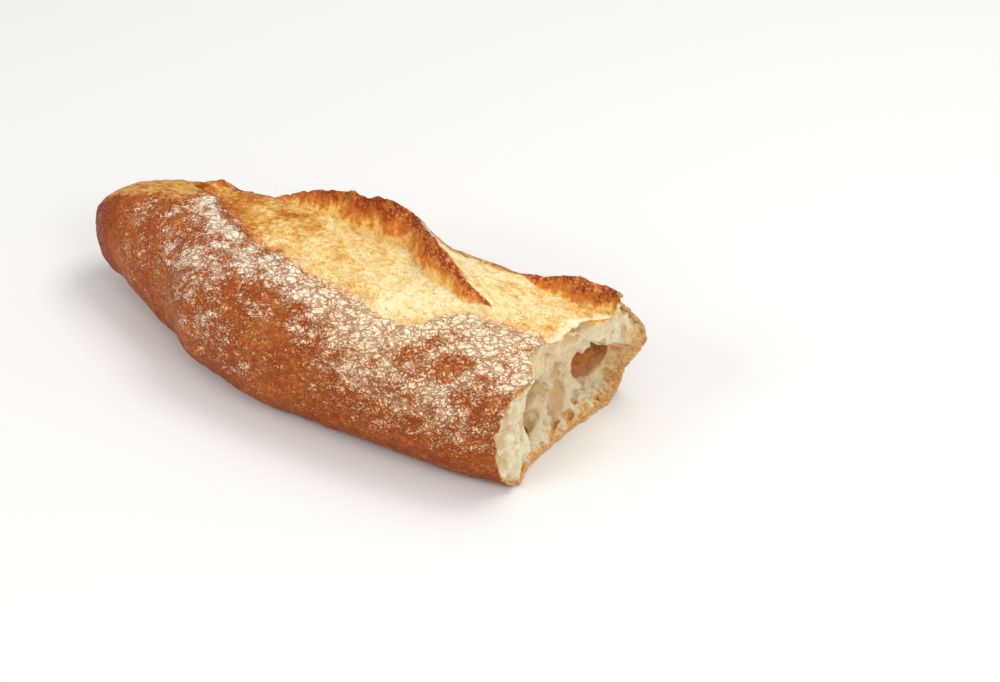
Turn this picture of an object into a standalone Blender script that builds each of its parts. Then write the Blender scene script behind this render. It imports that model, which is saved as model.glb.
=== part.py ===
"""A torn ciabatta: the larger piece of a loaf pulled apart by hand, as one solid.

The loaf lies along X with its rounded tip at -X and the torn end at +X. The side that faces -Y is the floured
front. Two slashes opened along the top in the oven: each has a low golden opening, and behind it an ear, a lip
of crust that stands up and leans back. The origin is the centre of the bounding box's base, on the table.

Lengths are millimetres up to build_mesh, which scales the finished points to metres.
"""

import bmesh
import bpy
import numpy as np

MM = 0.001

# The loaf's sections. Each row of numbers belongs to the stations, which are distances from the tip.
LENGTH = 251.0
STATIONS = (0, 22, 37, 67, 93, 135, 179, 221, 251)
CENTRE_Y = (-2, -1, 0, 0.5, -4.4, -4.5, -1.7, 1.5, 6)
HALF_WIDTH = (19, 20.5, 26, 37, 46.5, 50.5, 50.7, 51, 49)
CROWN_Z = (47, 50, 53, 55.5, 57.5, 59, 59, 59.5, 59)
UNDERSIDE_Z = (11, 8.5, 4, 0, 0, 0, 0, 0, 0)
TIP_ROUNDING = 27.0
TIP_CENTRE_Z = 28.5
WIDEST_AT = 0.44
UPPER_POWER = 2.3
LOWER_POWER = 3.2
BASE_SINK = 4.0

# The tip's place along X, with the origin under the middle of the loaf.
TIP_X = -131.6

# The ears: each is a lip that rises steeply from its base line towards +Y and falls gently behind its rim. The face
# grows wider with the ear's height, from its least width to its most at the tall height.
EAR_FACE_LEAST = 3.0
EAR_FACE_MOST = 8.0
EAR_TALL = 12.0
EAR_BACK = 20.0
EARS = {
    "tip": {
        "stations": (47, 52, 57, 61),
        "base_y": (11, 12, 13, 14),
        "height": (0, 3, 4.5, 0),
    },
    "middle": {
        "stations": (77, 83, 92, 104, 116, 131, 142, 151, 159, 170, 181, 191, 199, 208, 222),
        "base_y": (28, 26.5, 24, 20.3, 20, 18.6, 18.5, 17, 16.5, 10.5, 3.2, 0.5, -2, -4.8, -6),
        "height": (0, 3.5, 6.8, 10.2, 13.2, 16.5, 18.5, 19.3, 16.2, 14.6, 15.8, 11, 7.5, 4.8, 0),
    },
    "end": {
        "stations": (207, 213, 221, 230, 239, 248, 256, 262),
        "base_y": (29, 28, 26.2, 25, 23.5, 22.8, 22.4, 22),
        "height": (0, 2.8, 4.8, 8.6, 11.4, 11, 7.5, 3),
    },
}

# The openings: the front and back edge of the golden surface, which lies lower than the crust.
OPENING_SINK = 1.5
OPENING_EDGE = 5.0
OPENINGS = (
    {
        "stations": (49, 62, 77, 92, 104, 125, 151, 160, 172, 190, 197, 205, 213, 219),
        "front_y": (10, 6, -4, -11.3, -16.3, -19.6, -24.5, -25.5, -26.8, -28.3, -26.4, -16, -9, -5),
        "back_y": (14, 18, 26, 24, 20.3, 19.2, 17, 16, 9, 1, -1.5, -4.6, -4.4, -4),
    },
    {
        "stations": (177, 189, 205, 213, 223, 233, 241, 251, 262),
        "front_y": (12, 6, -2, -8, -10.5, -10.2, -6.5, -7, -7),
        "back_y": (26, 30, 32, 30, 25.8, 24.8, 23.2, 22.6, 22),
    },
)

# The crust's gentle unevenness: height of each wave, waves along the loaf, waves around it, and its start.
WAVES = (
    (0.6, 1.7, 2, 0.4),
    (0.4, 3.1, -3, 2.1),
    (0.25, 4.6, 4, 4.4),
)

# The torn end: how far the crumb stands out of the plane of the tear or sinks behind it.
TEAR_BAND = 26.0
TEAR_FEATURES = (
    # across, height, depth along X, spread across, spread in height
    (-44, 26, -2, 8, 20),
    (-26, 52, 5, 6, 6),
    (-14, 58, -3, 6, 8),
    (-31, 14, 3, 7, 18),
    (-4, 26, -11, 15, 15),
    (31, 24, -22, 12, 12),
    (10, 56, 3, 14, 5),
    (27, 60, 12, 10, 9),
    (54, 30, 9, 8, 14),
    (5, 0, -2, 40, 5),
)

RINGS = 56
POINTS_AROUND = 72
TEAR_RINGS = 10


def smooth_between(x, stations, values):
    """The values between their stations, joined by cubics that never overshoot."""
    stations = np.asarray(stations, float)
    values = np.asarray(values, float)
    step = np.diff(stations)
    slope = np.diff(values) / step
    tangent = np.zeros_like(values)
    same_way = slope[1:] * slope[:-1] > 0
    mean = 2 * slope[1:] * slope[:-1] / np.where(same_way, slope[1:] + slope[:-1], 1)
    tangent[1:-1] = np.where(same_way, mean, 0)
    tangent[0], tangent[-1] = slope[0], slope[-1]
    x = np.clip(x, stations[0], stations[-1])
    i = np.clip(np.searchsorted(stations, x) - 1, 0, len(step) - 1)
    t = (x - stations[i]) / step[i]
    start = values[i] * (1 + 2 * t) * (1 - t) ** 2 + step[i] * tangent[i] * t * (1 - t) ** 2
    end = values[i + 1] * t * t * (3 - 2 * t) + step[i] * tangent[i + 1] * t * t * (t - 1)
    return start + end


def ramp(x):
    """0 below 0, 1 above 1, and a smooth step between."""
    x = np.clip(x, 0, 1)
    return x * x * (3 - 2 * x)


def tip_cap(s):
    """How much of the full section is left this near the tip, from 0 to 1."""
    t = np.clip(s / TIP_ROUNDING, 0, 1)
    return np.sqrt(1 - (1 - t) ** 2)


def section_sizes(s):
    """Centre, half width, underside, widest height and crown of the section at s."""
    cap = tip_cap(s)
    centre_y = smooth_between(s, STATIONS, CENTRE_Y)
    half = smooth_between(s, STATIONS, HALF_WIDTH) * cap
    crown = smooth_between(s, STATIONS, CROWN_Z)
    under = smooth_between(s, STATIONS, UNDERSIDE_Z)
    under = TIP_CENTRE_Z + (under - TIP_CENTRE_Z) * cap
    crown = TIP_CENTRE_Z + (crown - TIP_CENTRE_Z) * cap
    middle = under + WIDEST_AT * (crown - under)
    return centre_y, half, under, middle, crown


def plain_radius(s, angle):
    """The radius of the section without slashes, a superellipse in each half."""
    _, half, under, middle, crown = section_sizes(s)
    across, up = np.abs(np.cos(angle)), np.abs(np.sin(angle))
    upper = np.sin(angle) >= 0
    height = np.where(upper, crown - middle, middle - under + BASE_SINK)
    power = np.where(upper, UPPER_POWER, LOWER_POWER)
    half, height = np.maximum(half, 0.5), np.maximum(height, 0.5)
    return ((across / half) ** power + (up / height) ** power) ** (-1 / power)


def ear_face_width(height):
    return EAR_FACE_LEAST + (EAR_FACE_MOST - EAR_FACE_LEAST) * np.minimum(height / EAR_TALL, 1)


def ear_rise(s, y):
    """How far the ears stand above the plain section at s and y."""
    rise = np.zeros(np.broadcast(s, y).shape)
    for ear in EARS.values():
        base = smooth_between(s, ear["stations"], ear["base_y"])
        height = smooth_between(s, ear["stations"], ear["height"])
        width = ear_face_width(height)
        face = ramp((y - base) / width)
        back = 1 - ramp((y - base - width) / EAR_BACK)
        rise = np.maximum(rise, height * face * back)
    return rise


def opening_sink(s, y):
    """How far the golden openings lie below the plain section at s and y."""
    sink = np.zeros(np.broadcast(s, y).shape)
    for opening in OPENINGS:
        front = smooth_between(s, opening["stations"], opening["front_y"])
        back = smooth_between(s, opening["stations"], opening["back_y"])
        across = ramp((y - front) / OPENING_EDGE) * ramp((back - y) / OPENING_EDGE + 0.5)
        first, last = opening["stations"][0], opening["stations"][-1]
        along = ramp((s - first) / OPENING_EDGE) * ramp((last - s) / OPENING_EDGE)
        if last > LENGTH:
            along = ramp((s - first) / OPENING_EDGE)
        sink = np.maximum(sink, OPENING_SINK * across * along)
    return sink


def unevenness(s, angle):
    """The gentle waves of the crust at s, which fade towards the tip."""
    swell = np.zeros(np.broadcast(s, angle).shape)
    for height, along, around, start in WAVES:
        swell = swell + height * np.sin(2 * np.pi * along * s / LENGTH + around * angle + start)
    return swell * tip_cap(s)


def section_points(s, angle):
    """Across and height of the outer surface at s, in the direction angle from the section's centre."""
    centre_y, _, under, middle, _ = section_sizes(s)
    radius = plain_radius(s, angle)
    radius = radius + unevenness(s, angle)
    y = centre_y + radius * np.cos(angle)
    on_top = ramp(np.sin(angle) / 0.35)
    lift = on_top * (ear_rise(s, y) - opening_sink(s, y))
    z = middle + radius * np.sin(angle) + lift
    return y, np.maximum(z, under)


def tear_relief(y, z):
    """How far the torn surface stands out of the plane of the tear, at each place across it."""
    relief = np.zeros(np.broadcast(y, z).shape)
    for across, height, depth, wide, tall in TEAR_FEATURES:
        relief = relief + depth * np.exp(-(((y - across) / wide) ** 2) - ((z - height) / tall) ** 2)
    return relief


def body_rings():
    """The rings of points from the tip to the rim of the tear."""
    t = np.linspace(0, 1, RINGS + 1)[1:]
    stations = LENGTH * (0.35 * t**2 + 0.65 * t)
    angle = np.linspace(0, 2 * np.pi, POINTS_AROUND, endpoint=False)
    rings = []
    for s in stations:
        y, z = section_points(s, angle)
        near_tear = ramp((s - LENGTH + TEAR_BAND) / TEAR_BAND)
        x = TIP_X + s + near_tear * tear_relief(y, z)
        rings.append(np.stack([x, y, z], axis=1))
    return rings


def tear_rings(rim):
    """Rings that close the torn end, shrinking from its rim towards the middle of the crumb."""
    middle = rim.mean(axis=0)
    rings = []
    for k in range(1, TEAR_RINGS + 1):
        share = 1 - k / (TEAR_RINGS + 1)
        y = middle[1] + share * (rim[:, 1] - middle[1])
        z = middle[2] + share * (rim[:, 2] - middle[2])
        x = TIP_X + LENGTH + tear_relief(y, z)
        rings.append(np.stack([x, y, z], axis=1))
    return rings


def build_mesh():
    """The closed mesh of the loaf: rings joined by bands of quads, with a fan at each end."""
    rings = body_rings()
    rings += tear_rings(rings[-1])
    tip_y = smooth_between(0.0, STATIONS, CENTRE_Y)
    tip = (TIP_X, float(tip_y), TIP_CENTRE_Z)
    inner = rings[-1].mean(axis=0)
    end = (TIP_X + LENGTH + float(tear_relief(inner[1], inner[2])), inner[1], inner[2])
    mesh = bpy.data.meshes.new("loaf")
    bm = bmesh.new()
    loops = [[bm.verts.new(point * MM) for point in ring] for ring in rings]
    first = bm.verts.new(np.array(tip) * MM)
    last = bm.verts.new(np.array(end) * MM)
    for near, far in zip(loops, loops[1:]):
        for i in range(POINTS_AROUND):
            j = (i + 1) % POINTS_AROUND
            bm.faces.new((near[i], near[j], far[j], far[i]))
    for i in range(POINTS_AROUND):
        j = (i + 1) % POINTS_AROUND
        bm.faces.new((first, loops[0][j], loops[0][i]))
        bm.faces.new((last, loops[-1][i], loops[-1][j]))
    bmesh.ops.recalc_face_normals(bm, faces=bm.faces)
    bm.to_mesh(mesh)
    bm.free()
    return mesh


def crust_material():
    material = bpy.data.materials.new("baked_crust")
    material.use_nodes = True
    shader = material.node_tree.nodes["Principled BSDF"]
    shader.inputs["Base Color"].default_value = (0.62, 0.34, 0.13, 1)
    shader.inputs["Roughness"].default_value = 0.65
    shader.inputs["Metallic"].default_value = 0.0
    return material


def main():
    for old in list(bpy.data.objects):
        bpy.data.objects.remove(old, do_unlink=True)
    mesh = build_mesh()
    mesh.materials.append(crust_material())
    mesh.shade_smooth()
    loaf = bpy.data.objects.new("loaf", mesh)
    bpy.context.scene.collection.objects.link(loaf)


main()
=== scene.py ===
"""The looks of the torn ciabatta: its floured crust, golden slash openings, ears and torn crumb.

The loaf's outer form comes from the same named sizes as the CAD solid, repeated here because this script
reads only the frame. Shapes are worked out in millimetres, in the part's frame, and new_piece scales them to
metres. Along the loaf, s is a station: its distance from the tip.
"""

import bpy
import numpy as np
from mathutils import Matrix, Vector


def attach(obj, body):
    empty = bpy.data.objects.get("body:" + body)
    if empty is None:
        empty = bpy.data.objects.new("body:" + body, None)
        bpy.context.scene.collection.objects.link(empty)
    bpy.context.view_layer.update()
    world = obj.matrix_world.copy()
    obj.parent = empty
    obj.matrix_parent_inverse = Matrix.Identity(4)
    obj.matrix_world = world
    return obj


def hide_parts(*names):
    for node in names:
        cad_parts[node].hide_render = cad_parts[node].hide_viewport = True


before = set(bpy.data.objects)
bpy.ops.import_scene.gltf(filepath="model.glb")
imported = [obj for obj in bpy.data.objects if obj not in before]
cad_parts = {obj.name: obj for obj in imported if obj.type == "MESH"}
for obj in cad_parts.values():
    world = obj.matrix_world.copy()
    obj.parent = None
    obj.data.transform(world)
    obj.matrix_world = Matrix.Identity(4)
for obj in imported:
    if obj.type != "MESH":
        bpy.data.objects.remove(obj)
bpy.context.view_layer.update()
MM = 0.001

# ---------------------------------------------------------------- the loaf's form, as in the CAD solid

LENGTH = 251.0
STATIONS = (0, 22, 37, 67, 93, 135, 179, 221, 251)
CENTRE_Y = (-2, -1, 0, 0.5, -4.4, -4.5, -1.7, 1.5, 6)
HALF_WIDTH = (19, 20.5, 26, 37, 46.5, 50.5, 50.7, 51, 49)
CROWN_Z = (47, 50, 53, 55.5, 57.5, 59, 59, 59.5, 59)
UNDERSIDE_Z = (11, 8.5, 4, 0, 0, 0, 0, 0, 0)
TIP_ROUNDING = 27.0
TIP_CENTRE_Z = 28.5
WIDEST_AT = 0.44
UPPER_POWER = 2.3
LOWER_POWER = 3.2
BASE_SINK = 4.0
TIP_X = -131.6

EAR_FACE_LEAST = 3.0
EAR_FACE_MOST = 8.0
EAR_TALL = 12.0
EAR_BACK = 20.0
EARS = {
    "tip": {
        "stations": (47, 52, 57, 61),
        "base_y": (11, 12, 13, 14),
        "height": (0, 3, 4.5, 0),
    },
    "middle": {
        "stations": (77, 83, 92, 104, 116, 131, 142, 151, 159, 170, 181, 191, 199, 208, 222),
        "base_y": (28, 26.5, 24, 20.3, 20, 18.6, 18.5, 17, 16.5, 10.5, 3.2, 0.5, -2, -4.8, -6),
        "height": (0, 3.5, 6.8, 10.2, 13.2, 16.5, 18.5, 19.3, 16.2, 14.6, 15.8, 11, 7.5, 4.8, 0),
    },
    "end": {
        "stations": (207, 213, 221, 230, 239, 248, 256, 262),
        "base_y": (29, 28, 26.2, 25, 23.5, 22.8, 22.4, 22),
        "height": (0, 2.8, 4.8, 8.6, 11.4, 11, 7.5, 3),
    },
}

OPENING_SINK = 1.5
OPENINGS = (
    {
        "stations": (49, 62, 77, 92, 104, 125, 151, 160, 172, 190, 197, 205, 213, 219),
        "front_y": (10, 6, -4, -11.3, -16.3, -19.6, -24.5, -25.5, -26.8, -28.3, -26.4, -16, -9, -5),
        "back_y": (14, 18, 26, 24, 20.3, 19.2, 17, 16, 9, 1, -1.5, -4.6, -4.4, -4),
    },
    {
        "stations": (177, 189, 205, 213, 223, 233, 241, 251, 262),
        "front_y": (12, 6, -2, -8, -10.5, -10.2, -6.5, -7, -7),
        "back_y": (26, 30, 32, 30, 25.8, 24.8, 23.2, 22.6, 22),
    },
)

WAVES = (
    # height, waves along the loaf, waves around it, where they start
    (0.6, 1.7, 2, 0.4),
    (0.4, 3.1, -3, 2.1),
    (0.25, 4.6, 4, 4.4),
)

TEAR_BAND = 26.0
# The big hollow isn't among these: it is carved out of the crumb, from HOLLOWS.
TEAR_FEATURES = (
    # across, height, depth along X, spread across, spread in height
    (-44, 26, -2, 8, 20),
    (-26, 52, 5, 6, 6),
    (-14, 58, -3, 6, 8),
    (-31, 14, 3, 7, 18),
    (-4, 26, -11, 15, 15),
    (10, 56, 3, 14, 5),
    (27, 60, 12, 10, 9),
    (54, 30, 9, 8, 14),
    (5, 0, -2, 40, 5),
)

# ---------------------------------------------------------------- what only the looks need

TOP_EDGE = 0.35
EAR_BASE = -0.5
EAR_CURL = 1.2
EAR_RIM = 2.0
EAR_FACE_POWER = 1.15
EAR_BACK_POWER = 1.5
OPENING_STEP = 2.5
OPENING_UNDER_EAR = 6.0
OPENING_END_SLOPE = 0.8
BULGE_SHARE = 0.6
BULGE_BEHIND = 3.0
BULGE_WIDTH = 10.0
LIP = 0.3
LIP_AT = -2.0
LIP_WIDTH = 2.0
# an opening's edge distance at places far from every opening
OUTSIDE = -30.0

RINGS = 306
POINTS_AROUND = 310
DENSE_ANGLES = 1440
STATION_SAMPLES = 4000
FINER_ON_EARS = 0.6
COARSER_UNDERNEATH = 0.75
COARSER_AT_BACK = 0.3

RAGGED_BAND = 7.0
CRUST_THICKNESS = 1.2
# how far inside the crust each ring of the torn rim lies, and how far back from the tear
RIM_STEPS = ((0.4, -0.2), (0.9, 0.2), (CRUST_THICKNESS, 1.2), (CRUST_THICKNESS, 5))
DEEP_STEPS = ((3, 12), (5, 34))
RIM_RINGS = len(RIM_STEPS) + len(DEEP_STEPS)


def smooth_between(x, stations, values):
    """The values between their stations, joined by cubics that never overshoot."""
    stations = np.asarray(stations, float)
    values = np.asarray(values, float)
    step = np.diff(stations)
    slope = np.diff(values) / step
    tangent = np.zeros_like(values)
    same_way = slope[1:] * slope[:-1] > 0
    mean = 2 * slope[1:] * slope[:-1] / np.where(same_way, slope[1:] + slope[:-1], 1)
    tangent[1:-1] = np.where(same_way, mean, 0)
    tangent[0], tangent[-1] = slope[0], slope[-1]
    x = np.clip(x, stations[0], stations[-1])
    i = np.clip(np.searchsorted(stations, x) - 1, 0, len(step) - 1)
    t = (x - stations[i]) / step[i]
    start = values[i] * (1 + 2 * t) * (1 - t) ** 2 + step[i] * tangent[i] * t * (1 - t) ** 2
    end = values[i + 1] * t * t * (3 - 2 * t) + step[i] * tangent[i + 1] * t * t * (t - 1)
    return start + end


def ramp(x):
    """0 below 0, 1 above 1, and a smooth step between."""
    x = np.clip(x, 0, 1)
    return x * x * (3 - 2 * x)


def near_tear(s):
    """0 along the loaf, rising to 1 at the tear."""
    return ramp((s - LENGTH + TEAR_BAND) / TEAR_BAND)


def on_upper_side(angle):
    """1 on the upper side, where the slashes and ears are, and 0 below the widest line."""
    return ramp(np.sin(angle) / TOP_EDGE)


def tip_cap(s):
    """How much of the full section is left this near the tip, from 0 to 1."""
    t = np.clip(s / TIP_ROUNDING, 0, 1)
    return np.sqrt(1 - (1 - t) ** 2)


def section_sizes(s):
    """Centre, half width, underside, widest height and crown of the section at s."""
    cap = tip_cap(s)
    centre_y = smooth_between(s, STATIONS, CENTRE_Y)
    half = smooth_between(s, STATIONS, HALF_WIDTH) * cap
    crown = smooth_between(s, STATIONS, CROWN_Z)
    under = smooth_between(s, STATIONS, UNDERSIDE_Z)
    under = TIP_CENTRE_Z + (under - TIP_CENTRE_Z) * cap
    crown = TIP_CENTRE_Z + (crown - TIP_CENTRE_Z) * cap
    middle = under + WIDEST_AT * (crown - under)
    return centre_y, half, under, middle, crown


def plain_radius(s, angle):
    """The radius of the section without slashes, a superellipse in each half."""
    _, half, under, middle, crown = section_sizes(s)
    across, up = np.abs(np.cos(angle)), np.abs(np.sin(angle))
    upper = np.sin(angle) >= 0
    height = np.where(upper, crown - middle, middle - under + BASE_SINK)
    power = np.where(upper, UPPER_POWER, LOWER_POWER)
    half, height = np.maximum(half, 0.5), np.maximum(height, 0.5)
    return ((across / half) ** power + (up / height) ** power) ** (-1 / power)


def smooth_min(a, b, width):
    """The lower of a and b, rounded off where they meet."""
    width = np.maximum(width, 1e-6)
    share = np.clip(0.5 + 0.5 * (b - a) / width, 0, 1)
    return b * (1 - share) + a * share - width * share * (1 - share)


def ear_face_width(height):
    return EAR_FACE_LEAST + (EAR_FACE_MOST - EAR_FACE_LEAST) * np.minimum(height / EAR_TALL, 1)


def ear_parts(s, y):
    """The ears' rise at s and y, the share up their faces (1 at the rim, more behind it) and their height."""
    shape = np.broadcast(s, y).shape
    rise, share, size = np.zeros(shape), np.full(shape, EAR_BASE), np.zeros(shape)
    along = np.stack([s + 0 * y, 0 * s + 0 * y, 0 * s + 0 * y], axis=-1)
    for number, ear in enumerate(EARS.values()):
        lobes = 1 + 0.09 * noise(along, 12.0, 200 + number) + 0.06 * noise(along, 4.5, 210 + number)
        base = smooth_between(s, ear["stations"], ear["base_y"]) + 0.8 * noise(along, 7.0, 220 + number)
        height = smooth_between(s, ear["stations"], ear["height"]) * lobes
        width = ear_face_width(height)
        here = (y - base) / width
        face = height * np.clip(here, 0, None) ** EAR_FACE_POWER
        back = height * np.clip(1 - (here - 1) * width / EAR_BACK, 0, 1.6) ** EAR_BACK_POWER
        part = np.maximum(smooth_min(face, back, np.minimum(EAR_RIM, 0.4 * height)), 0)
        share = np.where(part > rise, np.clip(here, EAR_BASE, 3), share)
        size = np.where(part > rise, height, size)
        rise = np.maximum(rise, part)
    return rise, share, size


def opening_edge(s, y):
    """Distance inside the nearest opening's edge, negative outside, and distance behind its front edge."""
    shape = np.broadcast(s, y).shape
    edge, behind = np.full(shape, OUTSIDE), np.full(shape, OUTSIDE)
    for opening in OPENINGS:
        front = smooth_between(s, opening["stations"], opening["front_y"])
        back = smooth_between(s, opening["stations"], opening["back_y"])
        first, last = opening["stations"][0], opening["stations"][-1]
        inside = np.minimum(y - front, back + OPENING_UNDER_EAR - y)
        inside = np.minimum(inside, (s - first) * OPENING_END_SLOPE)
        if last < LENGTH:
            inside = np.minimum(inside, (last - s) * OPENING_END_SLOPE)
        behind = np.where(inside > edge, y - front, behind)
        edge = np.maximum(edge, inside)
    return edge, behind


def opening_sink(edge, behind):
    """How far the golden surface lies below the crust: most at its front edge, less in the bulge behind."""
    bulge = BULGE_SHARE * ramp((behind - BULGE_BEHIND) / BULGE_WIDTH)
    return OPENING_SINK * ramp(edge / OPENING_STEP + 0.5) * (1 - bulge)


def unevenness(s, angle):
    """The gentle waves of the crust at s, which fade towards the tip."""
    swell = np.zeros(np.broadcast(s, angle).shape)
    for height, along, around, start in WAVES:
        swell = swell + height * np.sin(2 * np.pi * along * s / LENGTH + around * angle + start)
    return swell * tip_cap(s)


def tear_relief(y, z):
    """How far the torn surface stands out of the plane of the tear, at each place across it."""
    relief = np.zeros(np.broadcast(y, z).shape)
    for across, height, depth, wide, tall in TEAR_FEATURES:
        relief = relief + depth * np.exp(-(((y - across) / wide) ** 2) - ((z - height) / tall) ** 2)
    return relief


# ---------------------------------------------------------------- noise

LATTICE_SIDE = 32
TURN = np.array([[0.36, 0.48, -0.80], [-0.80, 0.60, 0.0], [0.48, 0.64, 0.60]])


def noise(points, size, seed):
    """Smooth random values between -1 and 1, with features about size across."""
    lattice = np.random.default_rng(seed).uniform(-1, 1, (LATTICE_SIDE,) * 3).astype(np.float32)
    at = points @ TURN / np.asarray(size, float)
    corner = np.floor(at).astype(np.int64)
    part = (at - corner).astype(np.float32)
    part = part * part * (3 - 2 * part)
    total = np.zeros(points.shape[:-1], np.float32)
    for step in np.ndindex(2, 2, 2):
        weight = np.ones(points.shape[:-1], np.float32)
        for k in range(3):
            weight = weight * (part[..., k] if step[k] else 1 - part[..., k])
        index = (corner + step) % LATTICE_SIDE
        total += weight * lattice[index[..., 0], index[..., 1], index[..., 2]]
    return total


def fractal(points, size, octaves, seed, keep=0.55):
    """Noise at several sizes, each half the last, and scaled to stay near -1 to 1."""
    total, strength, whole = 0, 1.0, 0.0
    for k in range(octaves):
        total = total + strength * noise(points, size / 2**k, seed + k)
        whole += strength
        strength *= keep
    return total / whole * 1.6


# ---------------------------------------------------------------- the crust


def surface(s, angle):
    """Across, height and looks masks of the outer surface at s, at this angle round the section's centre."""
    centre_y, _, under, middle, _ = section_sizes(s)
    radius = plain_radius(s, angle) + unevenness(s, angle)
    on_top = on_upper_side(angle)
    y = centre_y + radius * np.cos(angle)
    z = middle + radius * np.sin(angle)
    place = np.stack(np.broadcast_arrays(s, y, z), axis=-1)
    wander = 1.2 * noise(place, 10.0, 11) + 1.3 * fractal(place, 4.0, 3, 12)
    rise, share, size = ear_parts(s, y)
    edge, behind = opening_edge(s, y)
    edge = np.where(on_top > 0.5, edge + wander, OUTSIDE)
    lip = LIP * np.exp(-(((edge - LIP_AT) / LIP_WIDTH) ** 2)) * (size < 1)
    lift = on_top * (rise - opening_sink(edge, behind) * ramp(1 - share) + lip)
    curl = EAR_CURL * ramp(share) * (1 - ramp(share - 1)) * ramp(size / 10)
    y = y - on_top * curl
    return y, np.maximum(z + lift, under), edge, share, size * on_top


def ring_stations():
    """Stations that are evenly spaced along the surface, closer together round the tip."""
    fine = np.linspace(0.02, LENGTH, STATION_SAMPLES)
    half = section_sizes(fine)[1]
    along = np.concatenate([[0], np.cumsum(np.hypot(np.diff(fine), np.diff(half)))])
    return np.interp(np.linspace(0, along[-1], RINGS), along, fine)


def spread_around(y, z, on_ear, values):
    """The values at points spread round each ring, closer together on the ears and sparser underneath."""
    closed = [np.concatenate([v, v[:, :1]], axis=1) for v in (y, z)]
    step = np.hypot(np.diff(closed[0]), np.diff(closed[1]))
    underneath, at_back = ramp((3 - z) / 3), ramp((y - 38) / 8)
    fine = 1.0 - COARSER_UNDERNEATH * underneath - COARSER_AT_BACK * at_back + FINER_ON_EARS * on_ear
    along = np.concatenate([np.zeros((len(y), 1)), np.cumsum(step * fine, axis=1)], axis=1)
    wanted = np.linspace(0, 1, POINTS_AROUND, endpoint=False)
    spread = []
    for value in values:
        value = np.concatenate([value, value[:, :1]], axis=1)
        rows = [np.interp(wanted * a[-1], a, v) for a, v in zip(along, value)]
        spread.append(np.array(rows))
    return spread


def grid_normals(points):
    """Outward normals of a grid of rings."""
    along = np.gradient(points, axis=0)
    around = np.roll(points, -1, axis=1) - np.roll(points, 1, axis=1)
    normal = np.cross(around, along)
    return normal / np.maximum(np.linalg.norm(normal, axis=-1, keepdims=True), 1e-9)


def ragged_rim(points, s):
    """How far the torn rim reaches past its even line, in teeth and flakes."""
    teeth = 1.5 * fractal(points, 8.0, 2, 31) + 0.9 * fractal(points, 2.6, 2, 33)
    return teeth * ramp((s - LENGTH + RAGGED_BAND) / RAGGED_BAND)


def crust_lumps(points):
    """Height of the crust's small lumps."""
    return 0.4 * fractal(points, 9.0, 3, 41) + 0.2 * fractal(points, 2.6, 2, 47)


def opening_lumps(points):
    """Height of the golden surface's lumps, less its small pits."""
    pits = 0.6 * ramp((fractal(points, 2.3, 2, 59) - 0.40) / 0.3)
    return 0.55 * fractal(points * (0.7, 1, 1), 4.0, 3, 53) + 0.25 * fractal(points, 1.6, 2, 55) - pits


def ear_folds(points):
    """Height of the folds and blisters that run up an ear's face."""
    return 0.7 * fractal(points * (1, 0.4, 0.4), 3.6, 3, 61) + 0.4 * fractal(points, 3.2, 2, 67)


def fine_relief(points, edge, share, size):
    """Height of the surface's fine relief, which fades out on the flat base."""
    inside = ramp(edge / 2 + 0.5) * ramp(1 - 2 * np.clip(share, 0, 1))
    on_face = ramp(size / 4) * ramp(share / 0.2) * ramp((1.5 - share) / 0.4)
    relief = crust_lumps(points) * (1 - inside) * (1 - on_face)
    relief = relief + opening_lumps(points) * inside + ear_folds(points) * on_face
    return relief * ramp(points[..., 2] / 3)


def crust_rings():
    """The crust's outer points as a grid of rings, with their masks."""
    s = ring_stations()[:, None]
    angle = np.linspace(-np.pi / 2, 1.5 * np.pi, DENSE_ANGLES, endpoint=False)[None, :]
    y, z, edge, share, size = surface(s, angle)
    on_ear = ramp(size / 4) * (share > EAR_BASE) * (share < 1.3)
    s_all = np.broadcast_to(s, y.shape)
    s, y, z, edge, share, size = spread_around(y, z, on_ear, (s_all, y, z, edge, share, size))
    x = TIP_X + s + near_tear(s) * tear_relief(y, z)
    points = np.stack([x, y, z], axis=-1)
    points[..., 0] += ragged_rim(points, s)
    normal = grid_normals(points)
    points = points + normal * fine_relief(points, edge, share, size)[..., None]
    points[..., 2] = np.maximum(points[..., 2], 0)
    return s, points, edge, share, size


def tip_top(s, points):
    """1 on top of the tip, where the crust is golden and has no flour."""
    y, z = points[..., 1], points[..., 2]
    return ramp((62 - s) / 14) * ramp((y + 17 - 0.16 * s) / 12) * ramp((z - 29) / 18)


def back_top(s, points):
    """Up to 0.8 behind the end opening, where the crust is golden and has little flour."""
    y, z = points[..., 1], points[..., 2]
    return 0.8 * ramp((s - 135) / 50) * ramp((y - 20) / 8) * ramp((z - 34) / 16)


def flour_density(s, points, edge):
    """How thick the flour lies: none on the tip and low down, most beside the openings and near the tear."""
    low = 8 + 4 * ramp((s - 150) / 60)
    high = ramp((points[..., 2] - low) / 14)
    patches = fractal(points * (0.7, 1, 1), 20.0, 2, 71)
    beside = ramp((points[..., 2] - 34) / 14)
    at_edge = ramp((edge + 18) / 10) * (1 - 0.7 * ramp((edge + 4) / 2) * ramp((130 - s) / 30))
    towards_tear = ramp((s - 130) / 60) * (0.4 + 0.6 * ramp((points[..., 2] - 24) / 14))
    density = 0.38 + 0.16 * patches + 0.12 * beside + 0.22 * at_edge + 0.17 * towards_tear
    bare = np.maximum(tip_top(s, points), back_top(s, points))
    return np.clip(density * ramp((s - 20) / 16) * (1 - bare) * high, 0, 1)


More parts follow.
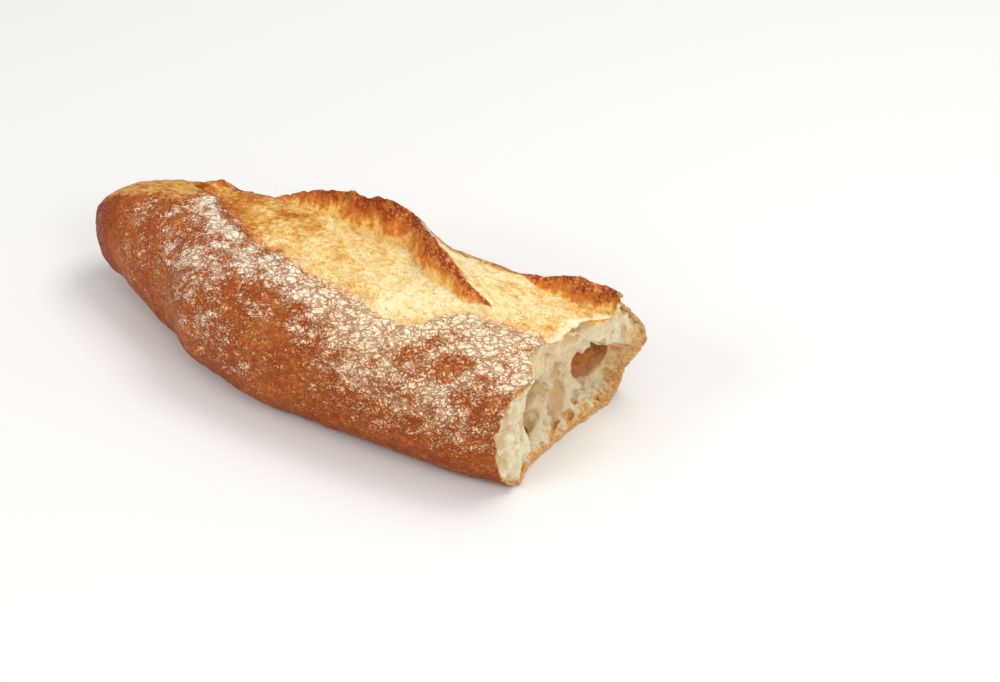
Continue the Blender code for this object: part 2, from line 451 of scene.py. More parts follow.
def close_rings(s, points, extra):
    """Adds rings that turn the torn rim inward and close the shell deep inside the loaf."""
    normal = grid_normals(points)
    rings = [points]
    for inset, back in RIM_STEPS:
        row = np.argmin(np.abs(s[:, 0] - LENGTH + max(back, 0)))
        ring = points[row] - inset * normal[row] * (0, 1, 1)
        ring[:, 0] = points[row, :, 0] - min(back, 0)
        rings.append(ring[None])
    for inset, back in DEEP_STEPS:
        row = np.argmin(np.abs(s[:, 0] - LENGTH + back))
        centre_y, _, under, middle, _ = section_sizes(s[row])
        angle = np.arctan2(points[row, :, 2] - middle, points[row, :, 1] - centre_y)
        radius = plain_radius(s[row], angle) - inset
        height = np.maximum(middle + radius * np.sin(angle), under + inset)
        ring = np.stack([points[row, :, 0], centre_y + radius * np.cos(angle), height], axis=-1)
        rings.append(ring[None])
    extra = [np.concatenate([e] + [e[-1:]] * RIM_RINGS) for e in extra]
    return np.concatenate(rings), extra


def ring_faces(rings, around):
    """Quads between successive rings, wound so that the normals point out."""
    i, j = np.meshgrid(np.arange(rings - 1), np.arange(around), indexing="ij")
    k = (j + 1) % around
    quads = np.stack([i * around + j, i * around + k, (i + 1) * around + k, (i + 1) * around + j], axis=-1)
    return quads.reshape(-1, 4)


def new_piece(name, points, quads, triangles, masks, material):
    """An object from points in millimetres, with its masks as point attributes."""
    mesh = bpy.data.meshes.new(name)
    faces = [tuple(f) for f in quads.tolist()] + triangles
    mesh.from_pydata((points * MM).tolist(), [], faces)
    for mask, values in masks.items():
        attribute = mesh.attributes.new(mask, "FLOAT", "POINT")
        attribute.data.foreach_set("value", np.ascontiguousarray(values, np.float32))
    mesh.materials.append(material)
    mesh.shade_smooth()
    piece = bpy.data.objects.new(name, mesh)
    bpy.context.scene.collection.objects.link(piece)
    return piece


def make_crust(material):
    s, points, edge, share, size = crust_rings()
    flour = flour_density(s, points, edge)
    golden = np.maximum(tip_top(s, points), back_top(s, points))
    outer = np.ones_like(s)
    points, extra = close_rings(s, points, [s, edge, share, size, flour, golden, outer])
    masks = dict(zip(("station", "edge", "ear", "ear_height", "flour", "golden", "outer"), extra))
    masks["outer"][-RIM_RINGS:] = 0
    rings, around = points.shape[:2]
    quads = ring_faces(rings, around)
    flat = points.reshape(-1, 3)
    tip, end = len(flat), len(flat) + 1
    flat = np.concatenate([flat, [points[0].mean(axis=0) - (0.02, 0, 0)], [points[-1].mean(axis=0)]])
    last = (rings - 1) * around
    triangles = [(tip, (j + 1) % around, j) for j in range(around)]
    triangles += [(end, last + j, last + (j + 1) % around) for j in range(around)]
    masks = {name: np.append(values, values.reshape(-1)[[0, -1]]) for name, values in masks.items()}
    return new_piece("crust", flat, quads, triangles, masks, material)


# ---------------------------------------------------------------- the torn crumb

CELL = 0.55
CRUMB_LEAST = (TIP_X + LENGTH - 42, -48, -1.2)
CRUMB_MOST = (TIP_X + LENGTH + 14, 58, 72)
CRUMB_INSET = 0.75
INSET_BEHIND = 2.3
CRUMB_BACK = 8.0
CRUMB_BEHIND_HOLLOW = 14.0
CRUMB_GRAIN = 0.26
BUBBLES = 760
BUBBLE_LEAST = 0.8
BUBBLE_RANGE = 3.0
BUBBLE_IN_HOLLOW = 1.3
# low down, bubbles are smaller, so that none opens the base
BUBBLE_AT_BASE = 0.3
BUBBLE_GROWTH = 0.3
HOLE_SOFTNESS = 1.0

# The torn surface stands out above this line across the tear, which follows the slab at the front and then
# the roof of the hollow.
STEP_ACROSS = (-30, -25, -18, -13, -12, -7, -1.5, 4.5, 10, 16, 20, 30, 37, 53, 62)
STEP_HEIGHT = (-8, 3, 13.5, 23.5, 29.5, 33, 38.5, 42, 46, 49, 44, 37.5, 33, 26, 22)
STEP_DEPTH = 8.0
HOLLOWS = (
    # across, height, how far behind the tear, half sizes along X, across and in height
    (37, 22, 7, 12, 12.5, 11.5),
    (33, 10, 1, 3, 4, 2.6),
    (12, 43, 3, 5, 3.2, 5),
    (2, 25, 1, 3, 3.6, 3.6),
    (14, 16, 1, 3, 4.5, 7),
    (-33, 32, 0.5, 2.5, 2.6, 2.2),
    (-21, 6, 0.3, 1.4, 3.0, 2.2),
)


def loaf_depth(x, y, z):
    """Roughly how far inside the loaf's outer surface a point is, ignoring the tear."""
    s = x - TIP_X
    for _ in range(2):
        s = x - TIP_X - near_tear(s) * tear_relief(y, z)
    s = np.clip(s, 0, LENGTH)
    centre_y, _, under, middle, _ = section_sizes(s)
    angle = np.arctan2(z - middle, y - centre_y)
    radius = plain_radius(s, angle) + unevenness(s, angle)
    on_top = on_upper_side(angle)
    at_y = centre_y + radius * np.cos(angle)
    place = np.stack([x, at_y, middle + radius * np.sin(angle)], axis=-1)
    rise, share, _ = ear_parts(s, at_y)
    lift = rise - opening_sink(*opening_edge(s, at_y)) * ramp(1 - share)
    reach = np.hypot(z - middle, y - centre_y)
    return np.minimum(radius + on_top * lift * np.sin(angle) + crust_lumps(place) - reach, z - under)


def hollow_share(y, z):
    """1 in the big hollow, fading to 0 round it."""
    across, height, _, _, wide, tall = HOLLOWS[0]
    return ramp(1.5 - np.hypot((y - across) / wide, (z - height) / tall))


def tear_place(y, z):
    """X of the torn surface, with its stretched folds."""
    place = np.stack(np.broadcast_arrays(0 * y, y, z), axis=-1)
    line = np.interp(y, STEP_ACROSS, STEP_HEIGHT) + 1.5 * fractal(place, 5.0, 2, 97)
    lower = ramp((line - z) / 3) * ramp((z - 2) / 6) * ramp((54 - y) / 8)
    folds = 1.9 * fractal(place * (1, 1, 0.5), 7.5, 2, 101) * ramp((z - 2) / 6)
    fine = 0.9 * fractal(place * (1, 1, 0.6), 3.0, 3, 107)
    return TIP_X + LENGTH + tear_relief(y, z) - STEP_DEPTH * lower + folds + fine


def bubble_list():
    """Centres and half sizes of the holes near the torn surface: the named hollows and many small bubbles."""
    rng = np.random.default_rng(7)
    y = rng.uniform(-47, 56, BUBBLES)
    z = rng.uniform(2, 62, BUBBLES)
    size = BUBBLE_LEAST + BUBBLE_RANGE * rng.random(BUBBLES) ** 3
    size = np.where(hollow_share(y, z) > 0, np.minimum(size, BUBBLE_IN_HOLLOW), size)
    size = np.minimum(size, BUBBLE_AT_BASE + BUBBLE_GROWTH * z)
    x = tear_place(y, z) + size * rng.uniform(-0.2, 0.75, BUBBLES)
    stretch = rng.uniform((0.7, 0.7, 0.9), (1.1, 1.2, 1.8), (BUBBLES, 3))
    hollows = np.array(HOLLOWS, float)
    across, height = hollows[:, 0], hollows[:, 1]
    middle = np.stack([tear_place(across, height) - hollows[:, 2], across, height], axis=1)
    centres = np.concatenate([middle, np.stack([x, y, z], axis=1)])
    return centres, np.concatenate([hollows[:, 3:], size[:, None] * stretch])


def carve(field, places, axes, centres, sizes):
    """Takes soft ellipsoids out of the field, whose points count as lying at the given places."""
    for centre, size in zip(centres, sizes):
        reach = 1.3 * size + 2.5
        block = tuple(slice(*np.searchsorted(a, (c - r, c + r))) for a, c, r in zip(axes, centre, reach))
        if any(b.stop <= b.start for b in block):
            continue
        away = sum(((place[block] - c) / r) ** 2 for place, c, r in zip(places, centre, size))
        hole = (1 - np.sqrt(away)) * size.min()
        field[block] = -smooth_min(-field[block], -hole, HOLE_SOFTNESS)


def net_points(field, crossed, axes):
    """One point in each crossed cell: the middle of the places where the surface cuts the cell's edges."""
    cell = np.argwhere(crossed)
    total, weight = np.zeros((len(cell), 3)), np.zeros((len(cell), 1))
    for axis in range(3):
        for offset in np.ndindex(2, 2):
            start = np.insert(np.array(offset), axis, 0)
            end = start.copy()
            end[axis] = 1
            a, b = (field[tuple((cell + e).T)] for e in (start, end))
            cuts = (a < 0) != (b < 0)
            at = (cell + start).astype(float)
            at[:, axis] += np.where(cuts, a / np.where(cuts, a - b, 1), 0)
            total += np.where(cuts[:, None], at, 0)
            weight += cuts[:, None]
    at = total / weight
    return np.stack([np.interp(at[:, k], np.arange(len(axes[k])), axes[k]) for k in range(3)], axis=1)


def net_quads(inside, number):
    """A quad across each grid edge that the surface cuts, through the points of the four cells beside it."""
    shape = number.shape
    quads = []
    for axis in range(3):
        u, v = (axis + 1) % 3, (axis + 2) % 3
        low = np.take(inside, range(shape[axis]), axis)
        high = np.take(inside, range(1, shape[axis] + 1), axis)
        edge = np.argwhere(low != high)
        edge = edge[(edge[:, u] > 0) & (edge[:, v] > 0) & (edge[:, u] < shape[u]) & (edge[:, v] < shape[v])]
        ring = []
        for du, dv in ((1, 1), (0, 1), (0, 0), (1, 0)):
            e = edge.copy()
            e[:, u] -= du
            e[:, v] -= dv
            ring.append(number[tuple(e.T)])
        ring = np.stack(ring, axis=1)
        flip = low[tuple(edge.T)]
        ring[~flip] = ring[~flip][:, ::-1]
        quads.append(ring)
    return np.concatenate(quads)


def surface_nets(field, axes):
    """Points and quads of the field's zero surface; inside is below 0."""
    inside = field < 0
    nx, ny, nz = np.array(field.shape) - 1
    corners = [inside[i:i + nx, j:j + ny, k:k + nz] for i, j, k in np.ndindex(2, 2, 2)]
    count = sum(c.astype(np.int8) for c in corners)
    crossed = (count > 0) & (count < 8)
    number = np.full(crossed.shape, -1, np.int64)
    number[crossed] = np.arange(crossed.sum())
    return net_points(field, crossed, axes), net_quads(inside, number)


def uneven_places(place):
    """The places moved about by noise, so that holes carved there come out uneven."""
    shift = [1.1 * noise(place, 4.0, 300 + k) + 0.4 * noise(place, 1.6, 310 + k) for k in range(3)]
    return place + np.stack(shift, axis=-1)


def crumb_field():
    """The crumb as a field below 0 inside: within the crust, behind the tear, less the holes."""
    axes = [np.arange(least, most, CELL) for least, most in zip(CRUMB_LEAST, CRUMB_MOST)]
    x, y, z = np.meshgrid(*axes, indexing="ij")
    behind = tear_place(y[0], z[0])[None] - x
    deep = CRUMB_BACK + CRUMB_BEHIND_HOLLOW * np.minimum(1, 2.5 * hollow_share(y[0], z[0]))[None]
    near = (behind > -3) & (behind < deep + 3)
    place = np.stack([x[near], y[near], z[near]], axis=-1)
    depth = np.full(x.shape, -5.0)
    depth[near] = loaf_depth(*place.T)
    inset = CRUMB_INSET + INSET_BEHIND * ramp((behind - 4) / 5)
    field = np.maximum(inset - depth, -behind)
    field = np.maximum(field, behind - deep)
    places = [x, y, z]
    for values, moved in zip(places, uneven_places(place).T):
        values[near] = moved
    carve(field, places, axes, *bubble_list())
    field[near] += CRUMB_GRAIN * noise(place, 1.5, 320)
    return field, axes


def make_crumb(material):
    field, axes = crumb_field()
    points, quads = surface_nets(field, axes)
    x, y, z = points.T
    depth = loaf_depth(x, y, z)
    recess = tear_place(y, z) - x
    masks = {"depth": depth, "recess": recess, "hollow": hollow_share(y, z), "sunken": TIP_X + LENGTH - x}
    return new_piece("crumb", points, quads, [], masks, material)


# ---------------------------------------------------------------- materials


def srgb(red, green, blue):
    """A linear colour from its display values, 0 to 255."""
    parts = [c / 255 for c in (red, green, blue)]
    return tuple(c / 12.92 if c <= 0.04045 else ((c + 0.055) / 1.055) ** 2.4 for c in parts) + (1.0,)


class Graph:
    """A material's node tree, built by calls that return sockets."""

    def __init__(self, name):
        self.material = bpy.data.materials.new(name)
        self.material.use_nodes = True
        self.nodes = self.material.node_tree.nodes
        self.links = self.material.node_tree.links
        self.shader = self.nodes["Principled BSDF"]
        coordinates = self.nodes.new("ShaderNodeTexCoord")
        scale = self.nodes.new("ShaderNodeVectorMath")
        scale.operation = "SCALE"
        scale.inputs["Scale"].default_value = 1 / MM
        self.links.new(coordinates.outputs["Object"], scale.inputs[0])
        self.place = scale.outputs[0]
        split = self.nodes.new("ShaderNodeSeparateXYZ")
        self.links.new(self.place, split.inputs[0])
        self.across, self.height = split.outputs["Y"], split.outputs["Z"]

    def put(self, socket, value):
        if isinstance(value, bpy.types.NodeSocket):
            self.links.new(value, socket)
        else:
            socket.default_value = value

    def math(self, operation, *values):
        """The values put together one after another by this operation."""
        result = values[0]
        for value in values[1:]:
            node = self.nodes.new("ShaderNodeMath")
            node.operation = operation
            self.put(node.inputs[0], result)
            self.put(node.inputs[1], value)
            result = node.outputs[0]
        return result

    def add(self, *values):
        return self.math("ADD", *values)

    def sub(self, a, b):
        return self.math("SUBTRACT", a, b)

    def mul(self, *values):
        return self.math("MULTIPLY", *values)

    def max(self, *values):
        return self.math("MAXIMUM", *values)

    def rest(self, share):
        """What is left of 1."""
        return self.sub(1.0, share)

    def spread(self, noise, amount):
        """Noise centred on 0, times amount."""
        return self.mul(self.sub(noise, 0.5), amount)

    def blend(self, share, a, b):
        """A value between a, at share 0, and b, at share 1."""
        return self.add(a, self.mul(share, self.sub(b, a)))

    def step(self, value, low, high):
        """0 where value is below low, 1 above high, smooth between."""
        node = self.nodes.new("ShaderNodeMapRange")
        node.interpolation_type = "SMOOTHSTEP"
        self.put(node.inputs["Value"], value)
        node.inputs["From Min"].default_value = low
        node.inputs["From Max"].default_value = high
        return node.outputs["Result"]

    def mask(self, name):
        node = self.nodes.new("ShaderNodeAttribute")
        node.attribute_name = name
        return node.outputs["Fac"]

    def stretched(self, factors):
        node = self.nodes.new("ShaderNodeVectorMath")
        node.operation = "MULTIPLY"
        self.links.new(self.place, node.inputs[0])
        node.inputs[1].default_value = factors
        return node.outputs[0]

    def turned(self, angle, stretch):
        """The place, drawn out along a line that climbs the loaf's side at this angle, in degrees."""
        node = self.nodes.new("ShaderNodeMapping")
        node.vector_type = "TEXTURE"
        self.links.new(self.place, node.inputs["Vector"])
        node.inputs["Rotation"].default_value = (0, -np.radians(angle), 0)
        node.inputs["Scale"].default_value = (stretch, 1, 1)
        return node.outputs["Vector"]

    def noise(self, size, detail=4.0, rough=0.55, at=None):
        """Noise from 0 to 1 whose features are about size millimetres across."""
        node = self.nodes.new("ShaderNodeTexNoise")
        self.links.new(at or self.place, node.inputs["Vector"])
        node.inputs["Scale"].default_value = 1 / size
        node.inputs["Detail"].default_value = detail
        node.inputs["Roughness"].default_value = rough
        return node.outputs["Fac"]

    def cell_edges(self, size, at):
        """Distance to the nearest edge of irregular cells that are about size millimetres across."""
        node = self.nodes.new("ShaderNodeTexVoronoi")
        node.feature = "DISTANCE_TO_EDGE"
        self.links.new(at, node.inputs["Vector"])
        node.inputs["Scale"].default_value = 1 / size
        return node.outputs["Distance"]

    def warped(self, amount, size, at):
        """The place moved about by noise, so that a pattern's lines wander."""
        node = self.nodes.new("ShaderNodeTexNoise")
        self.links.new(at, node.inputs["Vector"])
        node.inputs["Scale"].default_value = 1 / size
        node.inputs["Detail"].default_value = 3.0
        shift = self.nodes.new("ShaderNodeVectorMath")
        shift.operation = "MULTIPLY_ADD"
        self.links.new(node.outputs["Color"], shift.inputs[0])
        shift.inputs[1].default_value = (amount,) * 3
        self.links.new(at, shift.inputs[2])
        return shift.outputs[0]

    def mix(self, share, a, b):
        node = self.nodes.new("ShaderNodeMix")
        node.data_type = "RGBA"
        self.put(node.inputs["Factor"], share)
        self.put(node.inputs["A"], a)
        self.put(node.inputs["B"], b)
        return node.outputs["Result"]

    def ramp(self, value, stops):
        """A colour for each value, from stops of position and colour."""
        node = self.nodes.new("ShaderNodeValToRGB")
        self.put(node.inputs["Fac"], value)
        elements = node.color_ramp.elements
        while len(elements) < len(stops):
            elements.new(0.5)
        for element, (position, colour) in zip(elements, stops):
            element.position = position
            element.color = colour
        return node.outputs["Color"]

    def bump(self, height, distance):
        """A normal for relief that is this many millimetres high."""
        node = self.nodes.new("ShaderNodeBump")
        self.put(node.inputs["Height"], height)
        node.inputs["Distance"].default_value = distance * MM
        return node.outputs["Normal"]

    def finish(self, colour, roughness, normal):
        self.put(self.shader.inputs["Base Color"], colour)
        self.put(self.shader.inputs["Roughness"], roughness)
        self.put(self.shader.inputs["Normal"], normal)
        return self.material


def crust_material():
    g = Graph("floured_crust")
    station, edge, flour, outer = (g.mask(m) for m in ("station", "edge", "flour", "outer"))
    fine = g.noise(0.9, 4, 0.65)
    middling = g.noise(3.4, 4, 0.6)
    broad = g.noise(15, 3)

    bare = bare_crust(g, station, fine, middling, broad)
    floured, dusted, cracks = with_flour(g, bare, station, flour, fine, middling)
    gold, specks = golden_opening(g, station, edge, fine, middling, broad)

    ragged = g.add(edge, g.spread(fine, 11.0), g.spread(middling, 8.0))
    beside = g.rest(g.step(g.add(edge, g.spread(middling, 8.0)), 0.5, 6.0))
    inside = g.mul(g.step(ragged, -0.5, 0.5), g.rest(g.mul(dusted, beside, 0.85)))
    colour = g.mix(inside, floured, gold)
    colour = with_ears(g, colour, station, fine, middling)
    inner = g.ramp(fine, [(0.4, srgb(204, 142, 74)), (0.58, srgb(240, 198, 130))])
    colour = g.mix(g.rest(outer), colour, inner)

    crust_height = g.add(g.mul(fine, 0.6), g.mul(dusted, 0.35), g.mul(cracks, -0.5))
    gold_height = g.add(g.mul(fine, 0.9), g.mul(middling, 0.7), g.mul(specks, -0.2))
    normal = g.bump(g.blend(inside, crust_height, gold_height), 0.6)
    rough = g.add(0.42, g.mul(g.max(dusted, inside), 0.36))
    g.shader.inputs["Specular IOR Level"].default_value = 0.08
    return g.finish(colour, rough, normal)


def bare_crust(g, station, fine, middling, broad):
    """Mottled brown and orange crust, dark on the tip, darker low down (there in part painted shade), golden
    where its mask says so.
    """
    tone = g.add(0.5, g.spread(broad, 0.7), g.spread(middling, 0.7), g.spread(fine, 1.1))
    bare = g.ramp(tone, [(0.2, srgb(142, 58, 25)), (0.5, srgb(174, 86, 37)), (0.8, srgb(210, 128, 60))])
    at_tip = g.rest(g.step(station, 8, 34))
    bare = g.mix(g.mul(at_tip, 0.75), bare, srgb(126, 44, 17))
    # darker low down: in part painted shade on the side that faces the floor
    low = g.rest(g.step(g.add(g.height, g.spread(middling, 12.0)), 4, 26))
    bare = g.mix(g.mul(low, 0.6), bare, srgb(126, 52, 20))
    streaks = g.noise(2.4, 4, 0.65, at=g.stretched((0.35, 1.0, 1.0)))
    streaked = g.ramp(streaks, [(0.4, srgb(180, 100, 40)), (0.58, srgb(226, 170, 90))])
    golden = g.add(g.mask("golden"), g.spread(middling, 1.4), g.spread(streaks, 1.4))
    return g.mix(g.step(golden, 0.2, 0.7), bare, streaked)


def with_flour(g, bare, station, flour, fine, middling):
    """The crust under flour: soft clumps of grains, and towards the tear a coat with fine cracks.

    Returns the colour, how much flour covers each place, and the cracks.
    """
    strokes = g.turned(28, 1.5)
    patches = g.noise(6.0, 2, 0.5, at=strokes)
    coarse = g.noise(2.2, 3, 0.6, at=strokes)
    grain = g.noise(0.8, 2, 0.6)
    cover = g.add(flour, -0.51, g.spread(patches, 1.4), g.spread(coarse, 1.4), g.spread(fine, 1.0))
    coat = g.mul(g.step(flour, 0.62, 0.9), 0.4)
    grains = g.step(g.add(cover, coat, g.spread(grain, 2.6), g.spread(fine, 1.4)), 0.0, 0.12)
    cracks = flour_cracks(g, fine, middling, g.step(station, 60, 150))
    dusted = g.mul(grains, g.rest(g.mul(cracks, 0.9)))

    thick = g.step(g.add(flour, g.spread(patches, 0.7)), 0.5, 0.84)
    film = g.mix(g.mul(thick, 0.54), bare, srgb(228, 178, 118))
    shown = g.mul(cracks, g.blend(thick, 0.8, 0.4), g.step(flour, 0.15, 0.5))
    cracked = g.mix(shown, film, srgb(134, 62, 26))

    tone = g.add(flour, -0.45, g.spread(patches, 1.2), g.spread(coarse, 0.8), g.spread(fine, 1.4))
    whiteness = g.mul(g.step(tone, -0.04, 0.24), g.blend(thick, 0.6, 1.0))
    whitest = g.mix(g.step(station, 90, 170), srgb(255, 248, 228), srgb(255, 230, 196))
    white = g.mix(whiteness, srgb(222, 156, 98), whitest)
    return g.mix(g.mul(dusted, 0.94), cracked, white), dusted, cracks


def flour_cracks(g, fine, middling, coated):
    """Thin wandering cracks in the coat of flour, in two sizes, each showing only in places."""
    strokes = g.turned(20, 1.7)
    wide = g.cell_edges(4.2, g.warped(6.0, 5.0, g.warped(1.8, 1.3, strokes)))
    wide = g.mul(g.rest(g.step(wide, 0.02, 0.09)), g.step(middling, 0.36, 0.48))
    small = g.cell_edges(2.3, g.warped(2.6, 1.9, g.warped(0.8, 0.7, strokes)))
    small = g.mul(g.rest(g.step(small, 0.02, 0.13)), g.rest(g.step(middling, 0.5, 0.66)))
    small = g.mul(small, g.step(fine, 0.38, 0.54))
    return g.mul(g.max(wide, g.mul(small, 0.85)), g.blend(coated, 0.8, 1.0))


def golden_opening(g, station, edge, fine, middling, broad):
    """Golden skin of the openings and its specks: orange by the tip and along its edge, pale further on."""
    along = g.add(g.mul(g.step(station, 70, 150), 0.48), g.mul(g.step(station, 150, 190), 0.13),
                  g.mul(g.step(station, 212, 236), -0.14))
    band = g.rest(g.step(g.add(edge, g.spread(middling, 5.0)), 1.5, 4.5))
    band = g.mul(band, g.rest(g.mul(g.step(station, 130, 175), 0.8)))
    pale = g.add(along, g.mul(g.step(edge, 0, 8), 0.26), -0.02, g.mul(band, -0.3))
    streaks = g.noise(1.6, 4, 0.7, at=g.stretched((0.5, 1.0, 1.0)))
    grain = g.noise(0.7, 3, 0.7)
    clouds = g.add(g.spread(middling, 1.2), g.spread(broad, 1.6))
    clouds = g.mul(clouds, g.blend(g.step(station, 90, 150), 1.0, 0.7))
    tone = g.add(pale, clouds, g.spread(grain, 1.1), g.spread(streaks, 1.0))
    gold = g.ramp(tone, [(0.0, srgb(172, 88, 28)), (0.25, srgb(202, 130, 54)), (0.5, srgb(227, 178, 98)),
                         (0.75, srgb(241, 213, 144)), (1.0, srgb(250, 235, 188))])
    blots = g.mul(g.step(g.noise(3.2, 3, 0.6), 0.54, 0.64), g.blend(g.step(station, 80, 150), 0.75, 0.3))
    gold = g.mix(blots, gold, srgb(200, 124, 50))
    specks = g.mul(g.step(g.noise(1.1, 2, 0.5), 0.60, 0.67), g.step(g.noise(7.0, 2), 0.42, 0.58))
    gold = g.mix(g.mul(specks, 0.6), gold, srgb(190, 108, 42))
    torn_rim = g.step(g.add(station, g.spread(middling, 14.0), g.spread(fine, 5.0)), 245.5, 249.5)
    return g.mix(g.mul(torn_rim, 0.8), gold, srgb(252, 236, 196)), specks


def with_ears(g, colour, station, fine, middling):
    """The colour with the ears' faces over it, and a broken dark line along their feet: dark specks, and
    painted shade in the crease under the taller ears.
    """
    share, ear_height = g.mask("ear"), g.mask("ear_height")
    narrowing = g.mul(g.rest(g.step(ear_height, 1.0, 6.0)), 0.7)
    foot = g.sub(g.add(share, g.spread(fine, 0.3), g.spread(middling, 0.3)), narrowing)
    raised = g.step(g.add(ear_height, g.spread(fine, 1.0)), 0.5, 1.5)
    before_rim = g.rest(g.step(g.add(share, g.spread(middling, 0.6)), 1.1, 1.4))
    on_ear = g.mul(g.step(foot, 0.0, 0.16), raised, before_rim)
    colour = g.mix(on_ear, colour, ear_face(g, share, station, fine, middling))
    # a broken dark line at the ears' feet: dark specks, and painted shade in the crease under the taller ears
    foot_specks_and_shade = g.mul(g.step(foot, -0.16, -0.02), g.rest(g.step(foot, 0.02, 0.2)))
    foot_specks_and_shade = g.mul(foot_specks_and_shade, g.step(fine, 0.5, 0.62), g.step(ear_height, 4.0, 8.0))
    return g.mix(g.mul(foot_specks_and_shade, 0.6), colour, srgb(150, 78, 30))


def ear_face(g, share, station, fine, middling):
    """The ear's face: golden at its foot, orange and streaked above, red-brown by the rim and the tear, with
    pale flecks of painted highlight near the rim.
    """
    streaks = g.noise(1.7, 4, 0.65, at=g.stretched((1.0, 0.3, 0.3)))
    blisters = g.noise(2.2, 3, 0.6)
    lumps = g.noise(7.0, 2, 0.5)
    share = g.add(share, g.blend(g.step(station, 95, 150), -0.14, 0.04))
    up = g.add(share, g.spread(lumps, 1.3), g.spread(streaks, 1.0), g.spread(middling, 1.3),
               g.spread(blisters, 0.9))
    face = g.ramp(up, [(0.1, srgb(242, 198, 114)), (0.24, srgb(230, 162, 80)), (0.5, srgb(212, 124, 52)),
                       (0.8, srgb(196, 98, 44)), (0.97, srgb(158, 68, 30))])
    face = g.mix(g.mul(g.step(fine, 0.6, 0.68), 0.45), face, srgb(236, 168, 92))
    # pale flecks near the rim, more of them towards the tear: painted highlights standing in for glints
    painted_glints = g.step(g.noise(1.5, 3, 0.6), 0.54, 0.6)
    painted_glints = g.mul(painted_glints, g.step(g.add(share, g.spread(middling, 1.0)), 0.45, 0.8))
    painted_glints = g.mul(painted_glints, g.blend(g.step(station, 125, 165), 0.15, 0.5))
    return g.mix(painted_glints, face, srgb(242, 190, 126))


def crumb_material():
    g = Graph("torn_crumb")
    soft = g.noise(4.0, 4)
    fine = g.noise(1.2, 4, 0.6)
    recess = g.mask("recess")
    cream = g.ramp(g.blend(0.5, soft, fine), [(0.38, srgb(246, 218, 164)), (0.5, srgb(255, 240, 204)),
                                              (0.6, srgb(255, 249, 222))])
    # painted shade: tan where the crumb lies deeper behind the tear, where less light reaches
    painted_shade_behind_tear = g.step(g.add(g.mask("sunken"), g.spread(soft, 8.0)), 3, 13)
    colour = g.mix(g.mul(painted_shade_behind_tear, 0.28), cream, srgb(222, 182, 122))
    upper = g.step(g.add(g.height, g.spread(soft, 12.0)), 34, 52)
    colour = g.mix(g.mul(upper, 0.4), colour, srgb(252, 220, 156))
    # painted shade: tan inside the holes
    painted_hole_shade = g.step(g.add(recess, g.spread(fine, 1.5)), 0.4, 2.6)
    colour = g.mix(g.mul(painted_hole_shade, 0.45), colour, srgb(224, 172, 102))
    colour = with_hollow_lining_and_shade(g, colour, recess, soft)
    toasted = g.ramp(fine, [(0.4, srgb(216, 136, 56)), (0.58, srgb(247, 192, 106))])
    colour = g.mix(by_the_crust(g, soft), colour, toasted)
    normal = g.bump(g.add(fine, g.noise(0.6, 3, 0.6)), 0.8)
    g.shader.inputs["Specular IOR Level"].default_value = 0.14
    g.shader.inputs["Subsurface Weight"].default_value = 0.25
    g.shader.inputs["Subsurface Radius"].default_value = (4.5 * MM, 3 * MM, 1.8 * MM)
    g.shader.inputs["Subsurface Scale"].default_value = 1.0
    return g.finish(colour, 0.75, normal)


def with_hollow_lining_and_shade(g, colour, recess, soft):
    """The colour with the big hollow a reddish brown inside, partly its browned lining and partly painted
    shade, and other deep holes partly so, as painted shade.
    """
    # the hollow's reddish brown: partly its browned lining, partly painted shade
    lining_and_shade = g.ramp(soft, [(0.4, srgb(228, 132, 72)), (0.6, srgb(244, 172, 104))])
    in_hollow = g.step(g.add(recess, g.spread(soft, 4.0)), 1.0, 9.0)
    in_hollow = g.mul(in_hollow, g.step(g.mask("hollow"), 0.1, 0.6))
    # deep narrow holes tinted brown: painted shade
    painted_deep_shade = g.mul(g.step(recess, 5.0, 9.0), 0.7)
    return g.mix(g.max(in_hollow, painted_deep_shade), colour, lining_and_shade)


def by_the_crust(g, soft):
    """1 where the crumb is toasted: next to the crust, along the base and low down at the back."""
    near_crust = g.rest(g.step(g.add(g.mask("depth"), g.spread(soft, 2.4)), 0.6, 1.8))
    base = g.rest(g.step(g.add(g.height, g.spread(soft, 8.0)), 3.0, 5.6))
    back = g.step(g.add(g.across, g.spread(soft, 16.0)), 42, 51)
    back = g.mul(back, g.rest(g.step(g.height, 32, 42)))
    return g.max(near_crust, g.mul(base, 0.9), g.mul(back, 0.75))


def plain_material(name, colour, roughness):
    g = Graph(name)
    fleck = g.noise(40, 2)
    shade = g.mix(g.mul(fleck, 0.03), colour, (0.8, 0.8, 0.8, 1))
    return g.finish(shade, roughness, g.bump(fleck, 0.01))


# ---------------------------------------------------------------- floor, light and camera

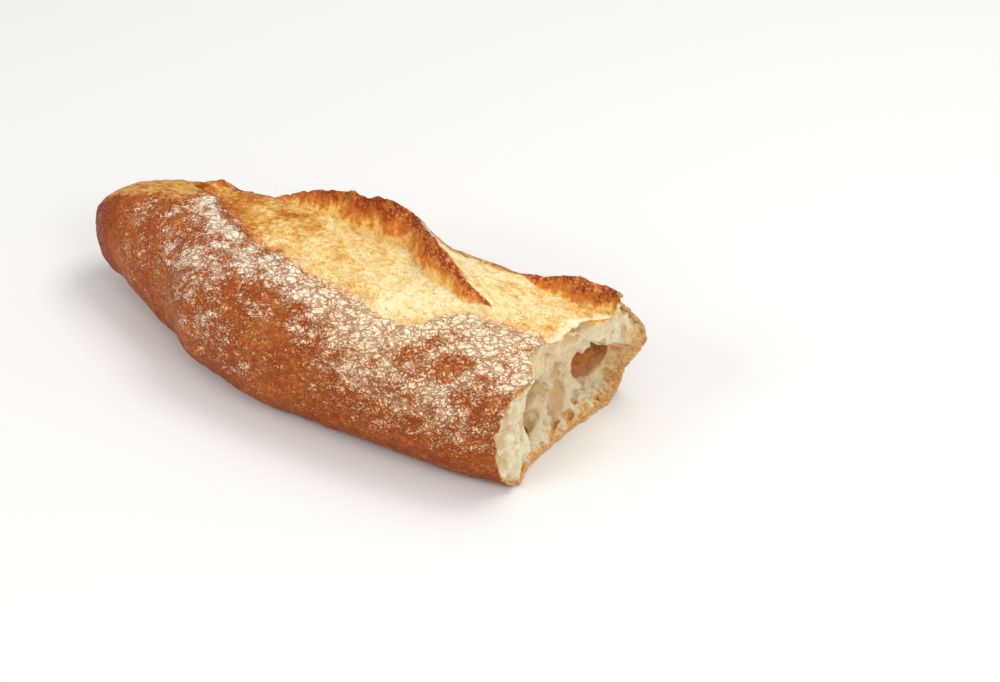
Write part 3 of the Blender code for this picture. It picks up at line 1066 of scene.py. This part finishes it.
VIEW_AZIMUTH = np.radians(35.0)
VIEW_ELEVATION = np.radians(35.0)
VIEW_DISTANCE = 1.0
LOOK_AT = Vector((54.9, 50.5, 0.0)) * MM
LENS = 80.7
SENSOR_WIDTH = 36.0
FLOOR_REACH = 3.0
LIT_PLACE = Vector((0, 0, 0.03))
WORLD_STRENGTH = 0.56
LIGHTS = {
    # place, size and power
    "key": ((0.25, 0.5, 1.1), (0.8, 0.6), 6.5),
    "side": ((0.9, -0.35, 0.7), (0.6, 0.5), 4.0),
    "front": ((-0.35, -0.9, 0.75), (0.5, 0.5), 4.0),
}


def make_floor():
    mesh = bpy.data.meshes.new("floor")
    r = FLOOR_REACH
    mesh.from_pydata([(-r, -r, 0), (r, -r, 0), (r, r, 0), (-r, r, 0)], [], [(0, 1, 2, 3)])
    floor = bpy.data.objects.new("floor", mesh)
    mesh.materials.append(plain_material("pale_floor", srgb(236, 234, 231), 0.8))
    bpy.context.scene.collection.objects.link(floor)


def area_light(name, place, size, power):
    data = bpy.data.lights.new(name, "AREA")
    data.shape = "RECTANGLE"
    data.size, data.size_y = size
    data.energy = power
    light = bpy.data.objects.new(name, data)
    light.location = place
    light.rotation_euler = (LIT_PLACE - Vector(place)).to_track_quat("-Z", "Y").to_euler()
    bpy.context.scene.collection.objects.link(light)


def make_light():
    world = bpy.data.worlds.new("studio")
    world.use_nodes = True
    world.node_tree.nodes["Background"].inputs["Color"].default_value = (1, 1, 1, 1)
    world.node_tree.nodes["Background"].inputs["Strength"].default_value = WORLD_STRENGTH
    bpy.context.scene.world = world
    for name, (place, size, power) in LIGHTS.items():
        area_light(name, place, size, power)


def make_camera():
    level = np.cos(VIEW_ELEVATION)
    back = Vector((np.sin(VIEW_AZIMUTH) * level, -np.cos(VIEW_AZIMUTH) * level, np.sin(VIEW_ELEVATION)))
    data = bpy.data.cameras.new("camera")
    data.lens = LENS
    data.sensor_width = SENSOR_WIDTH
    camera = bpy.data.objects.new("camera", data)
    camera.location = LOOK_AT + back * VIEW_DISTANCE
    camera.rotation_euler = (-back).to_track_quat("-Z", "Y").to_euler()
    bpy.context.scene.collection.objects.link(camera)
    bpy.context.scene.camera = camera


# ---------------------------------------------------------------- the scene

make_camera()
make_light()
make_floor()
bpy.context.scene.view_settings.view_transform = "Standard"
crust = make_crust(crust_material())
crumb = make_crumb(crumb_material())
for piece in (crust, crumb):
    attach(piece, "root")
    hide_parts("loaf")
